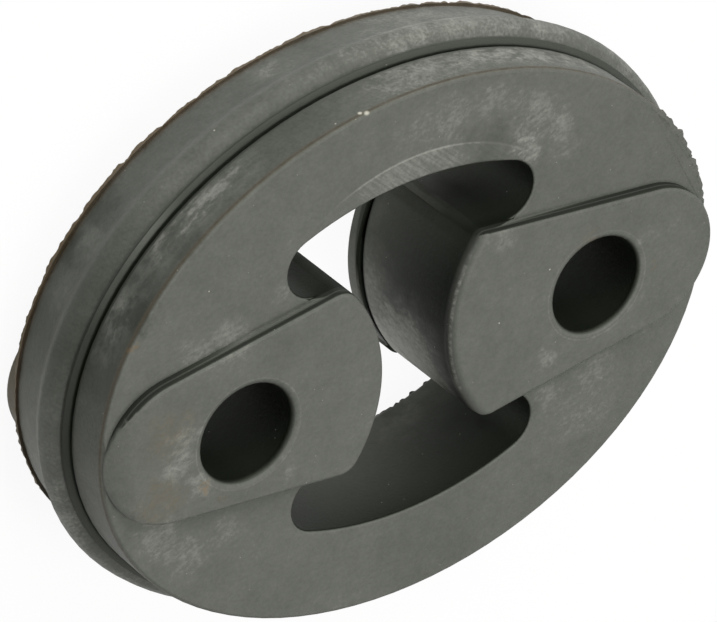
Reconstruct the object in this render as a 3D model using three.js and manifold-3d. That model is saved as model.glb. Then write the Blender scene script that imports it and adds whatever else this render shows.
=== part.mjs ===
// Exhaust hanger rubber: one moulded piece of black rubber.
// An oval ring carries two lugs that reach inward from its ends. Each lug has a bore for a hanger pin,
// and stands proud of the ring on both faces as a pad. The lugs' noses face each other across a gap,
// with a crescent cavity above and below them. The ring's outer wall has a plain rim at the front, a
// split line, a bead round its middle and a tapered band that ends in a thin fin of flash at the rear.
// Units are millimetres. X runs along the line of the bores, Y across it, and Z up through the
// thickness. The piece lies on its two rear pads, at Z = 0, with its front face up.

import * as THREE from "three";
import { mergeVertices } from "three/addons/utils/BufferGeometryUtils.js";
import Module from "manifold-3d";

// Ring
const ringLength = 69.4;
const ringHeight = 55.4;
const ringThickness = 13.8;
const ringWall = 9.45;
const faceEdgeRadius = 0.4;

// Outer wall of the ring, from the front face to the rear face
const rimWidth = 4.8;
const splitWidth = 0.4;
const splitDepth = 0.5;
const stepWidth = 0.2;
const stepHeight = 0.65;
const beadRise = 1.25;
const beadFrontWidth = 1.6;
const beadRearWidth = 1.9;
const bandHeight = 1.0;
const rearHeight = 0.2;
const flashHeight = 0.3;
const flashThickness = 0.3;

// Cavities above and below the lugs. Their ends are round.
const cavityLength = 27.8;
const cavityEdgeRadius = 0.3;

// Lugs and their pads. A lug's half width is taken where its nose's arc has its centre. The right
// lug's nose has one corner that is sharper than the other three, and a softer front edge. The rear
// half of the mould sat a little higher than the front half, so the rear pads are shifted in Y.
const noseCentre = 20;
const lugHalfWidth = 8.65;
const lugTaper = THREE.MathUtils.degToRad(7.7);
const leftNoseRadius = 15.7;
const rightNoseRadius = 16.5;
const noseCornerRadius = 2.2;
const sharpCornerRadius = 1.2;
const padHeight = 1.35;
const frontPadInset = 0.2;
const frontPadEdgeRadius = 0.4;
const softEdgeRadius = 1;
const noseClearance = 0.02;
const rearPadInset = 0.1;
const rearPadEdgeRadius = 0.15;
const rearPadShift = 0.4;
const rearNoseRise = 0.2;
const padBlendWidth = 3.2;

// Bores. They sit a little to the right of the ring's middle and below its centre line.
const boreDiameter = 10;
const leftLipRadius = 0.8;
const rightLipRadius = 0.6;
const boreSpacing = 40.1;
const boreShift = 0.55;
const leftBoreDrop = 1.05;
const rightBoreDrop = 0.4;

// Smoothness
const ovalSegments = 96;
const arcSegments = 8;
const lugSegments = 18;
const boreSegments = 40;
const roundSteps = 2;
const beadSteps = 3;
const halvings = 40;
const mergeDistance = 1e-4;

const thickness = ringThickness + 2 * padHeight;
const frontFace = thickness - padHeight;
const rearFace = padHeight;
const overrun = 1;

const rubber = new THREE.MeshStandardMaterial({ color: 0x4a4a47, roughness: 0.72, metalness: 0 });

const wasm = await Module();
wasm.setup();

// Turns a closed geometry into a solid that can be joined and cut.
function toSolid(geometry) {
  const bare = geometry.clone();
  bare.deleteAttribute("normal");
  bare.deleteAttribute("uv");
  const merged = mergeVertices(bare.index ? bare.toNonIndexed() : bare, mergeDistance);
  return new wasm.Manifold(
    new wasm.Mesh({
      numProp: 3,
      vertProperties: new Float32Array(merged.attributes.position.array),
      triVerts: new Uint32Array(merged.index.array),
    })
  );
}

// Turns a solid back into a geometry.
function toGeometry(solid) {
  const mesh = solid.getMesh();
  const geometry = new THREE.BufferGeometry();
  geometry.setAttribute("position", new THREE.BufferAttribute(mesh.vertProperties, 3));
  geometry.setIndex(new THREE.BufferAttribute(mesh.triVerts, 1));
  geometry.computeVertexNormals();
  return geometry;
}

// Moves each corner of a closed counter-clockwise outline outward by the same distance.
function offsetOutline(points, distance) {
  return points.map((point, index) => {
    const before = points[(index + points.length - 1) % points.length];
    const after = points[(index + 1) % points.length];
    const edgeIn = point.clone().sub(before).normalize();
    const edgeOut = after.clone().sub(point).normalize();
    const normalIn = new THREE.Vector2(edgeIn.y, -edgeIn.x);
    const normalOut = new THREE.Vector2(edgeOut.y, -edgeOut.x);
    const mitre = normalIn.clone().add(normalOut).normalize();
    return point.clone().addScaledVector(mitre, distance / mitre.dot(normalIn));
  });
}

// A closed body whose section at each station's height is the outline, moved out by its offset.
// The stations run from the bottom up.
function loft(outline, stations) {
  const count = outline.length;
  const corners = [];
  for (const station of stations) {
    for (const point of offsetOutline(outline, station.offset)) {
      corners.push(new THREE.Vector3(point.x, point.y, station.height));
    }
  }
  const triangles = [];
  for (let level = 0; level < stations.length - 1; level++) {
    for (let i = 0; i < count; i++) {
      const a = level * count + i;
      const b = level * count + ((i + 1) % count);
      triangles.push(a, b, b + count, a, b + count, a + count);
    }
  }
  const top = (stations.length - 1) * count;
  for (const [a, b, c] of THREE.ShapeUtils.triangulateShape(outline, [])) {
    triangles.push(a, c, b);
    triangles.push(top + a, top + b, top + c);
  }
  const geometry = new THREE.BufferGeometry().setFromPoints(corners);
  geometry.setIndex(triangles);
  return geometry;
}

// The oval at a distance inside the ring's outer edge, at one angle of its formula.
function ovalPoint(angle, inset) {
  const halfLength = ringLength / 2;
  const halfHeight = ringHeight / 2;
  const point = new THREE.Vector2(halfLength * Math.cos(angle), halfHeight * Math.sin(angle));
  const normal = new THREE.Vector2(halfHeight * Math.cos(angle), halfLength * Math.sin(angle)).normalize();
  return point.addScaledVector(normal, -inset);
}

// The direction that the oval's edge faces, at one angle of its formula.
function ovalFacing(angle) {
  return Math.atan2((ringLength / 2) * Math.sin(angle), (ringHeight / 2) * Math.cos(angle));
}

// Points along an arc, both ends included.
function arcPoints(centre, radius, from, to, steps) {
  return Array.from({ length: steps + 1 }, (_, i) => {
    const angle = from + ((to - from) * i) / steps;
    return new THREE.Vector2(centre.x + radius * Math.cos(angle), centre.y + radius * Math.sin(angle));
  });
}

// A quarter round between a face and a wall, from the face to the wall: how far each of its points
// lies from the wall, and how deep it lies under the face.
function quarterRound(radius) {
  return Array.from({ length: roundSteps + 1 }, (_, i) => {
    const turn = (Math.PI / 2) * (i / roundSteps);
    return { across: radius * (1 - Math.sin(turn)), under: radius * (1 - Math.cos(turn)) };
  });
}

// The ring's outer wall: how far it stands out at each depth behind the front face.
function wallStations() {
  const wall = [];
  const add = (depth, offset) => wall.push({ height: frontFace - depth, offset });
  for (const { across, under } of quarterRound(faceEdgeRadius)) {
    add(under, -across);
  }
  let depth = rimWidth;
  add(depth, 0);
  add(depth + splitWidth / 2, -splitDepth);
  depth += splitWidth;
  add(depth, 0);
  depth += stepWidth;
  add(depth, stepHeight);
  add(depth + splitWidth / 2, stepHeight - splitDepth / 2);
  depth += splitWidth;
  for (let i = 0; i <= beadSteps; i++) {
    const turn = (Math.PI / 2) * (i / beadSteps);
    add(depth + beadFrontWidth * (1 - Math.cos(turn)), stepHeight + beadRise * Math.sin(turn));
  }
  depth += beadFrontWidth;
  const fall = stepHeight + beadRise - bandHeight;
  for (let i = 1; i <= beadSteps; i++) {
    const part = i / beadSteps;
    add(depth + beadRearWidth * part, bandHeight + (fall * (1 + Math.cos(Math.PI * part))) / 2);
  }
  add(ringThickness - flashThickness, rearHeight);
  add(ringThickness - flashThickness, rearHeight + flashHeight);
  add(ringThickness, rearHeight + flashHeight);
  return wall.reverse();
}

// How far a point lies outside the upper side line of the right lug.
function aboveLug(point) {
  const line = lugHalfWidth + (noseCentre - point.x) * Math.tan(lugTaper);
  return (point.y - line) * Math.cos(lugTaper);
}

// The value between two limits up to which a test holds.
function lastThatHolds(low, high, test) {
  for (let i = 0; i < halvings; i++) {
    const middle = (low + high) / 2;
    if (test(middle)) {
      low = middle;
    } else {
      high = middle;
    }
  }
  return low;
}

// The circle that touches both a cavity's outer arc, at one angle of its formula, and the lug's side.
function circleBetween(angle) {
  const fits = (radius) => aboveLug(ovalPoint(angle, ringWall + radius)) > radius;
  const radius = lastThatHolds(0, ringHeight / 2 - ringWall, fits);
  return { angle, radius, centre: ovalPoint(angle, ringWall + radius) };
}

// The round at the right end of the upper cavity.
function cavityEnd() {
  const reach = (circle) => circle.centre.x + circle.radius;
  const tooLong = (angle) => reach(circleBetween(angle)) > cavityLength / 2;
  return circleBetween(lastThatHolds(0, Math.PI / 2, tooLong));
}

// The opening through the ring: both cavities and all that lies between them.
function openingOutline() {
  const end = cavityEnd();
  const lugFacing = -Math.PI / 2 - lugTaper;
  const quarter = arcPoints(end.centre, end.radius, lugFacing, ovalFacing(end.angle), 2 * arcSegments);
  for (let i = 1; i <= arcSegments; i++) {
    const angle = end.angle + ((Math.PI / 2 - end.angle) * i) / arcSegments;
    quarter.push(ovalPoint(angle, ringWall));
  }
  const mirrored = quarter.slice(0, -1).reverse().map((point) => new THREE.Vector2(-point.x, point.y));
  const upper = [...quarter, ...mirrored];
  const lower = upper.map((point) => new THREE.Vector2(-point.x, -point.y));
  return [...upper, ...lower];
}

// The opening's walls, with a rounded edge at each face of the ring.
function openingStations() {
  const rear = [{ height: rearFace - overrun, offset: cavityEdgeRadius }];
  for (const { across, under } of quarterRound(cavityEdgeRadius)) {
    rear.push({ height: rearFace + under, offset: across });
  }
  const front = rear.map(({ height, offset }) => ({ height: thickness - height, offset })).reverse();
  return [...rear, ...front];
}

// The round of a nose's upper corner, which touches the side line and the nose's arc from inside:
// its centre, and the way it faces where it meets the arc.
function noseCorner(nose, cornerRadius) {
  const slope = Math.tan(lugTaper);
  const line = nose.halfWidth - cornerRadius / Math.cos(lugTaper);
  const a = 1 + slope * slope;
  const b = line * slope;
  const c = line * line - (nose.radius - cornerRadius) ** 2;
  const x = (b - Math.sqrt(b * b - a * c)) / a;
  const y = line - slope * x;
  return { x, y, facing: Math.atan2(y, x) };
}

// One lug's outline about the centre of its nose's arc, with the nose towards -X and its rounded end,
// which stops at the given reach, towards +X.
function lugShape(nose, reach) {
  const endCentre = (reach - nose.halfWidth * Math.cos(lugTaper)) / (1 - Math.sin(lugTaper));
  const endRadius = reach - endCentre;
  const sideFacing = Math.PI / 2 - lugTaper;
  const upper = noseCorner(nose, nose.upperCorner);
  const lower = noseCorner(nose, nose.lowerCorner);
  const turn = 2 * Math.PI;
  const shape = new THREE.Shape();
  shape.absarc(endCentre, 0, endRadius, -sideFacing, sideFacing, false);
  shape.absarc(upper.x, upper.y, nose.upperCorner, sideFacing, upper.facing, false);
  shape.absarc(0, 0, nose.radius, upper.facing, turn - lower.facing, false);
  shape.absarc(lower.x, -lower.y, nose.lowerCorner, turn - lower.facing, turn - sideFacing, false);
  return shape;
}

// A right-hand lug from its rear pad's face up to a given height, with both its edges rounded.
function lugBlock(nose, reach, height, edgeRadius) {
  const geometry = new THREE.ExtrudeGeometry(lugShape(nose, reach), {
    depth: height - 2 * edgeRadius,
    bevelThickness: edgeRadius,
    bevelSize: edgeRadius,
    bevelOffset: -edgeRadius,
    bevelSegments: roundSteps,
    curveSegments: lugSegments,
  });
  return toSolid(geometry.translate(noseCentre, 0, edgeRadius));
}

// A right-hand lug from pad to pad. Its rear pad reaches nearly to the flash, stands out a little at
// the nose, has crisper edges and is shifted in Y.
function lug(nose, rearShift) {
  const halfLength = ringLength / 2 - noseCentre;
  const rearReach = halfLength + rearHeight + flashHeight - rearPadInset;
  const rearTop = rearFace + flashThickness / 2;
  const rearNose = { ...nose, radius: nose.radius + rearNoseRise };
  const full = lugBlock(nose, halfLength - frontPadInset, thickness, frontPadEdgeRadius);
  return full.add(lugBlock(rearNose, rearReach, rearTop, rearPadEdgeRadius).translate([0, rearShift, 0]));
}

// What is kept of the right lug: its nose's front edge is rounded off.
function softNose(nose) {
  const wider = { ...nose, halfWidth: nose.halfWidth + overrun, radius: nose.radius + noseClearance };
  const rearHalf = new THREE.BoxGeometry(2 * ringLength, 2 * ringHeight, thickness);
  return lugBlock(wider, ringLength / 2, thickness, softEdgeRadius).add(toSolid(rearHalf));
}

// What is kept of the left lug: its front pad's outer end slopes down to the ring's edge.
function padBlend(oval) {
  const stations = [
    { height: -overrun, offset: overrun },
    { height: frontFace, offset: overrun },
    { height: frontFace, offset: 0 },
  ];
  for (let i = 1; i <= beadSteps; i++) {
    const part = i / beadSteps;
    const rise = padHeight * Math.sin((Math.PI / 2) * part);
    stations.push({ height: frontFace + rise, offset: -padBlendWidth * part });
  }
  return toSolid(loft(oval, stations));
}

// The tool that cuts one bore, with a rounded lip at each pad.
function boreTool(lipRadius) {
  const radius = boreDiameter / 2;
  const half = [new THREE.Vector2(0, -overrun), new THREE.Vector2(radius + lipRadius, -overrun)];
  for (const { across, under } of quarterRound(lipRadius)) {
    half.push(new THREE.Vector2(radius + across, under));
  }
  const other = half.map((point) => new THREE.Vector2(point.x, thickness - point.y)).reverse();
  return toSolid(new THREE.LatheGeometry([...half, ...other], boreSegments).rotateX(Math.PI / 2));
}

function hangerRubber() {
  const oval = Array.from({ length: ovalSegments }, (_, i) => ovalPoint((2 * Math.PI * i) / ovalSegments, 0));
  const ring = toSolid(loft(oval, wallStations())).subtract(toSolid(loft(openingOutline(), openingStations())));
  const rightNose = {
    halfWidth: lugHalfWidth,
    radius: rightNoseRadius,
    upperCorner: sharpCornerRadius,
    lowerCorner: noseCornerRadius,
  };
  const leftNose = { ...rightNose, radius: leftNoseRadius, upperCorner: noseCornerRadius };
  const rightLug = lug(rightNose, rearPadShift).intersect(softNose(rightNose));
  const leftLug = lug(leftNose, -rearPadShift).rotate([0, 0, 180]).intersect(padBlend(oval));
  const halfSpacing = boreSpacing / 2;
  return ring
    .add(rightLug)
    .add(leftLug)
    .subtract(boreTool(rightLipRadius).translate([boreShift + halfSpacing, -rightBoreDrop, 0]))
    .subtract(boreTool(leftLipRadius).translate([boreShift - halfSpacing, -leftBoreDrop, 0]));
}

const group = new THREE.Group();
const rubberPiece = new THREE.Mesh(toGeometry(hangerRubber()), rubber);
rubberPiece.name = "hanger_rubber";
group.add(rubberPiece);

export default group;
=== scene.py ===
"""Looks of an exhaust hanger rubber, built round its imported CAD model.

The part is one moulding of black rubber, dulled to grey by bloom. It lies on its rear pads on a
plain white floor, front face up, and the camera looks down on it as the photograph does.
"""

from __future__ import annotations

import logging
from contextlib import contextmanager
from dataclasses import dataclass, field
from enum import Enum
from math import atan2, degrees, pi, radians
from typing import Callable, Iterator

import bmesh
import bpy
from mathutils import Matrix, Vector

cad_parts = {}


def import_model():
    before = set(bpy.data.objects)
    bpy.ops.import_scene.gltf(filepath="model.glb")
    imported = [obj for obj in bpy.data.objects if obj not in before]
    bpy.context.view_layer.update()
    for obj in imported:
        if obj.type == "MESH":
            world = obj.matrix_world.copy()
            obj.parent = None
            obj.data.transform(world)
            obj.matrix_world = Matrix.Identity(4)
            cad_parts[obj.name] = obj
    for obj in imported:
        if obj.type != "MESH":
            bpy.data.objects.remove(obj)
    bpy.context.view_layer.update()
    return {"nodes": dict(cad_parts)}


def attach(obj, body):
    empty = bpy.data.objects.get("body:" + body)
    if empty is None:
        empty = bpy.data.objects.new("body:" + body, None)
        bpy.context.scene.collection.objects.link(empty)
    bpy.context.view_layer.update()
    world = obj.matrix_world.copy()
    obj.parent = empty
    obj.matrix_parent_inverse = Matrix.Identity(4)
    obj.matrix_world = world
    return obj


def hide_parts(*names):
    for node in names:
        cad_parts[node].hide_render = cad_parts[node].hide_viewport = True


log = logging.getLogger("hanger_rubber")

MM = 0.001
NODE = "hanger_rubber"
BODY = "root"
Node = bpy.types.Node
Socket = bpy.types.NodeSocket
Tree = bpy.types.NodeTree

# Heights above the floor, in mm, at which the moulding changes
REAR_FACE = 1.35
FLASH_TOP = 1.65
BEAD_FRONT = 9.35
SPLIT_LOW = 9.95
SPLIT_HIGH = 10.35
FRONT_FACE = 15.15
FRONT_PAD = 16.5

# The seam across the right nose, in mm: its height where y is 0, its drop for each mm of y, and how
# wide it is
SEAM_HEIGHT = 1.9
SEAM_SLOPE = 0.09
SEAM_WIDTH = 0.5

# The angle in the oval's formula, in degrees, from which places along the oval are counted. It lies
# away from all that the photograph shows of the outer wall.
TURN_START = -60

# How far a point may lie from a height and still count as on it, in mm
NEAR = 0.01


def linear(hex_colour: str) -> tuple[float, float, float, float]:
    """Turns an sRGB hex colour into linear light.

    Args:
        hex_colour: The colour as "#rrggbb".

    Returns:
        Linear red, green and blue, and an alpha of 1.
    """
    channels = [int(hex_colour[i : i + 2], 16) / 255 for i in (1, 3, 5)]
    red, green, blue = (
        c / 12.92 if c <= 0.04045 else ((c + 0.055) / 1.055) ** 2.4 for c in channels
    )
    return (red, green, blue, 1.0)


def add_node(tree: Tree, kind: str, links: dict | None = None, **settings) -> Node:
    """Adds a node with its settings and links.

    Args:
        tree: The node tree that gets the node.
        kind: The node's type name, without its "ShaderNode".
        links: For each input, by name or number, what feeds it: a value, a socket, or a node,
            which stands for its first output that is in use.
        settings: The node's own properties.

    Returns:
        The new node.
    """
    node = tree.nodes.new("ShaderNode" + kind)
    for name, value in settings.items():
        setattr(node, name, value)
    for socket, source in (links or {}).items():
        if isinstance(source, Node):
            source = next(output for output in source.outputs if output.enabled)
        if isinstance(source, Socket):
            tree.links.new(source, node.inputs[socket])
        else:
            node.inputs[socket].default_value = source
    return node


def new_material(name: str) -> tuple[bpy.types.Material, Tree]:
    """Makes an empty node material.

    Args:
        name: The material's name.

    Returns:
        The material and its node tree, with no nodes in it.
    """
    material = bpy.data.materials.new(name)
    material.use_nodes = True
    material.node_tree.nodes.clear()
    return material, material.node_tree


@contextmanager
def editing(piece: bpy.types.Object) -> Iterator[None]:
    """Opens a piece in edit mode with nothing selected, and closes it again.

    Args:
        piece: The piece to work on.
    """
    bpy.ops.object.select_all(action="DESELECT")
    bpy.context.view_layer.objects.active = piece
    piece.select_set(True)
    bpy.ops.object.mode_set(mode="EDIT")
    bpy.ops.mesh.select_all(action="DESELECT")
    yield
    bpy.ops.object.mode_set(mode="OBJECT")


def select_faces(piece: bpy.types.Object, test: Callable[[Vector, Vector], bool]) -> None:
    """Selects the faces of a piece in edit mode that pass a test, and no others.

    Args:
        piece: The piece, in edit mode.
        test: Takes a face's middle in mm, and its normal.
    """
    bpy.ops.mesh.select_all(action="DESELECT")
    bpy.ops.mesh.select_mode(type="FACE")
    mesh = bmesh.from_edit_mesh(piece.data)
    for face in mesh.faces:
        face.select_set(test(face.calc_center_median() / MM, face.normal))
    bmesh.update_edit_mesh(piece.data)


def select_edges(piece: bpy.types.Object, test: Callable[[Vector, Vector], bool]) -> None:
    """Selects the edges of a piece in edit mode that pass a test, and no others.

    Args:
        piece: The piece, in edit mode.
        test: Takes the edge's two ends, in mm.
    """
    bpy.ops.mesh.select_all(action="DESELECT")
    bpy.ops.mesh.select_mode(type="EDGE")
    mesh = bmesh.from_edit_mesh(piece.data)
    for edge in mesh.edges:
        edge.select_set(test(edge.verts[0].co / MM, edge.verts[1].co / MM))
    bmesh.update_edit_mesh(piece.data)


@dataclass(frozen=True)
class Oval:
    """The oval of the ring's outer edge, in mm."""

    half_length: float = 34.7
    half_height: float = 27.7

    def offset(self, point: Vector) -> float:
        """Says about how far a point lies outside the oval, in mm."""
        reach = Vector((point.x / self.half_length, point.y / self.half_height)).length
        slope = Vector((point.x / self.half_length**2, point.y / self.half_height**2)).length
        return (reach - 1) * reach / slope if slope else -self.half_height

    def angle(self, point: Vector) -> float:
        """Gives a point's angle in the oval's formula, in degrees from -180 to 180."""
        return degrees(atan2(point.y / self.half_height, point.x / self.half_length))


@dataclass
class Viewpoint:
    """The photograph's camera: a long lens, rolled, that looks down on the piece."""

    position: Vector = field(default_factory=lambda: Vector((-247.79, 285.62, 354.92)) * MM)
    right: Vector = field(default_factory=lambda: Vector((0.8128, -0.0055, 0.5825)))
    up: Vector = field(default_factory=lambda: Vector((0.3278, 0.8310, -0.4495)))
    lens: float = 274.46
    film_width: float = 36.0

    def build(self) -> bpy.types.Object:
        """Adds the camera and makes it the scene's camera.

        Returns:
            The camera's object.
        """
        bpy.ops.object.camera_add()
        camera = bpy.context.object
        camera.name = "photograph_camera"
        back = self.right.cross(self.up).normalized()
        up = back.cross(self.right).normalized()
        turn = Matrix((self.right.normalized(), up, back)).transposed().to_4x4()
        camera.matrix_world = Matrix.Translation(self.position) @ turn
        camera.data.sensor_fit = "HORIZONTAL"
        camera.data.sensor_width = self.film_width
        camera.data.lens = self.lens
        camera.data.clip_start = 10 * MM
        bpy.context.scene.camera = camera
        return camera


@dataclass
class Softbox:
    """One soft studio lamp, as a square area light."""

    name: str
    position: Vector
    side: float
    power: float

    def build(self, target: Vector) -> bpy.types.Object:
        """Adds the lamp, turned to its target.

        Args:
            target: The point that it faces.

        Returns:
            The lamp's object.
        """
        bpy.ops.object.light_add(type="AREA", location=self.position)
        lamp = bpy.context.object
        lamp.name = self.name
        lamp.data.size = self.side
        lamp.data.energy = self.power
        lamp.rotation_euler = (target - self.position).to_track_quat("-Z", "Y").to_euler()
        return lamp


@dataclass
class Studio:
    """The white studio round the piece: its floor, its soft lamps and its background light."""

    floor_side: float = 3.0
    floor_shade: str = "#e6e6e4"
    floor_glow: float = 0.93
    floor_bounce: float = 0.9
    room_light: float = 0.28
    aim: Vector = field(default_factory=lambda: Vector((0, 0, 8 * MM)))
    lamps: list[Softbox] = field(
        default_factory=lambda: [
            Softbox("top_softbox", Vector((0.25, 1.2, 0.7)), 0.9, 16.0),
            Softbox("front_softbox", Vector((0.2, -0.1, 1.4)), 0.9, 15.0),
        ]
    )

    def floor_finish(self) -> bpy.types.Material:
        """Makes the floor's white paper.

        Returns:
            The material, which keeps a weak shadow where the camera sees it.
        """
        # Matt white paper: even and pale, with no gloss. Much of its light comes from inside, as
        # on a light table, so that it stays white under the piece and lights the piece's foot.
        material, tree = new_material("matt_white_paper")
        paper = add_node(tree, "BsdfDiffuse", {"Color": linear(self.floor_shade)})
        white = add_node(tree, "Emission", {"Color": linear("#ffffff"), "Strength": 1.0})
        path = add_node(tree, "LightPath")
        rays = {0: path.outputs["Is Camera Ray"], 1: path.outputs["Is Glossy Ray"]}
        seen = add_node(tree, "Math", rays, operation="MAXIMUM")
        glow = {"Value": seen, "To Min": self.floor_bounce, "To Max": self.floor_glow}
        share = add_node(tree, "MapRange", glow)
        mix = add_node(tree, "MixShader", {0: share, 1: paper, 2: white})
        add_node(tree, "OutputMaterial", {"Surface": mix})
        return material

    def light_the_room(self) -> None:
        """Sets the world: white to the camera, and a soft even light on the piece."""
        world = bpy.data.worlds.new("light_tent")
        bpy.context.scene.world = world
        world.use_nodes = True
        tree = world.node_tree
        tree.nodes.clear()
        path = add_node(tree, "LightPath")
        rays = {0: path.outputs["Is Camera Ray"], 1: path.outputs["Is Transmission Ray"]}
        seen = add_node(tree, "Math", rays, operation="MAXIMUM")
        shown = {"Value": seen, "To Min": self.room_light, "To Max": 1.0}
        strength = add_node(tree, "MapRange", shown)
        sky = add_node(tree, "Background", {"Color": linear("#ffffff"), "Strength": strength})
        add_node(tree, "OutputWorld", {"Surface": sky})

    def build(self) -> None:
        """Adds the floor, the lamps and the background light."""
        bpy.ops.mesh.primitive_plane_add(size=self.floor_side, location=(0, 0, 0))
        floor = bpy.context.object
        floor.name = "studio_floor"
        floor.data.materials.append(self.floor_finish())
        for lamp in self.lamps:
            lamp.build(self.aim)
        self.light_the_room()


class Mark(Enum):
    """What a spot on the rubber is."""

    BLOOM = "pale bloom in a torn cloud"
    # Rubbed bare of bloom, and painted shade deep in the cavities
    WIPED = "rubbed bare of bloom"
    STAIN = "brown from rust"
    CHIP = "small pale chip"
    # Dust that has settled, which also paints bounce light from the floor on the right nose's foot
    DUST = "dust that has settled"
    ROUGH = "rough pale edge"
    TURNED = "face marked by the mould's turned insert"


@dataclass(frozen=True)
class Patch:
    """A spot on the rubber that differs from its surroundings, with its place and radius in mm."""

    mark: Mark
    x: float
    y: float
    z: float
    radius: float
    strength: float = 1.0


@dataclass(frozen=True)
class Zone:
    """A range of heights or distances, in mm, and the width over which its ends fade."""

    low: float
    high: float
    soft: float = 0.15


class Surface(Enum):
    """A surface of the moulding that a band may lie on."""

    OUTER = "the outer wall, with its ledges and grooves"
    SIDE = "the front pads' long sides"


# An angle in the oval's formula, in degrees, and the value there
Stops = tuple[tuple[float, float], ...]


@dataclass(frozen=True)
class Band:
    """A level band on one surface, and its cover: one value, or one that changes along the oval."""

    surface: Surface
    zone: Zone
    cover: float | Stops


@dataclass(frozen=True)
class Strokes:
    """Strokes as from a brush or a scraper, drawn with stretched noise.

    A stroke's length, width and depth are in mm, and its direction is in degrees from the line of
    the bores. It starts where the noise reaches one value and is full where it reaches another.
    """

    size: tuple[float, float, float]
    direction: float
    start: float
    full: float


@dataclass(frozen=True)
class Whereabouts:
    """The nodes of the rubber's material that say where a point lies, with lengths in mm.

    The last three are 1 on the outer wall, on the walls inside and on the pads' long sides.
    """

    place: Node
    flat: Node
    across: Socket
    height: Socket
    turn: Node
    outer: Node
    inner: Node
    side: Node


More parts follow.
